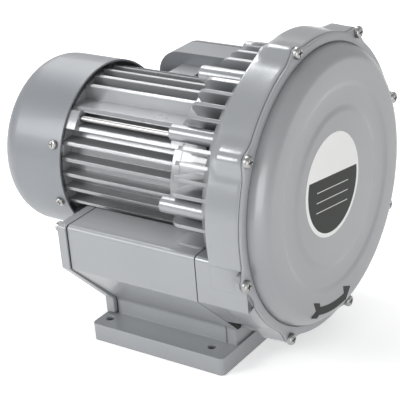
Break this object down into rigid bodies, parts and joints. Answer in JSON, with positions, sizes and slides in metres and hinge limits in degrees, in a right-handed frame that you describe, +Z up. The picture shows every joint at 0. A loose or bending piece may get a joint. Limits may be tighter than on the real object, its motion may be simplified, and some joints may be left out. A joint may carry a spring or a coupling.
{
  "type": "side channel blower",
  "caption": "Single-stage side channel blower: dished pump cover, finned motor with fan cowl, silencer base with mounting foot and threaded ports, side terminal box.",
  "frame": {"origin": "middle of the four foot holes, on the base plane the foot stands on", "axes": "+X along the shaft from the fan cowl towards the pump cover, +Z up"},
  "size_m": [0.285, 0.2518, 0.2659],
  "materials": {
    "cast_paint": "grey gloss paint on cast aluminium",
    "cover_paint": "grey satin paint on cast aluminium",
    "sheet_paint": "grey satin paint on sheet steel",
    "zinc": "zinc plated",
    "gasket": "black fibre gasket",
    "bare_aluminium": "as cast and turned",
    "steel": "ground",
    "core_steel": "stacked sheets",
    "copper": "varnished winding",
    "seal_rubber": "moulded",
    "fan_plastic": "moulded",
    "foam": "open-cell foam",
    "black_plastic": "moulded",
    "capacitor_can": "drawn can"
  },
  "bodies": {
    "housing": {"front_cover": "cover_paint", "cover_gasket": "gasket", "cover_screws": "zinc", "pump_casing": "cast_paint", "shaft_seal": "seal_rubber", "motor_frame": "cast_paint", "stator_core": "core_steel", "stator_windings": "copper", "front_bearing_outer_ring": "steel", "front_bearing_balls": "steel", "rear_bearing_balls": "steel", "rear_bearing_outer_ring": "steel", "wave_spring": "steel", "rear_end_shield": "cast_paint", "tie_bolts": "zinc", "fan_cowl": "sheet_paint", "cowl_screws": "zinc", "base_body": "cast_paint", "base_front_gasket": "gasket", "port_plate_gasket": "gasket", "port_plate": "cast_paint", "base_screws": "zinc", "inlet_silencer": "foam", "outlet_silencer": "foam", "terminal_box": "sheet_paint", "terminal_box_gasket": "gasket", "terminal_box_lid": "sheet_paint", "lid_screws": "zinc", "terminal_block": "black_plastic", "capacitor": "capacitor_can", "capacitor_clip": "zinc", "cable_gland": "black_plastic", "gland_nut": "black_plastic"},
    "rotor": {"shaft": "steel", "rotor_core": "core_steel", "impeller": "bare_aluminium", "impeller_key": "steel", "impeller_washer": "zinc", "impeller_nut": "zinc", "front_bearing_inner_ring": "steel", "rear_bearing_inner_ring": "steel", "cooling_fan": "fan_plastic", "fan_clip": "steel"}
  },
  "joints": [
    {"name": "rotor_spin", "type": "hinge", "parent": "housing", "child": "rotor", "pos_m": [0, 0, 0.14], "axis": [1, 0, 0], "continuous": true}
  ]
}
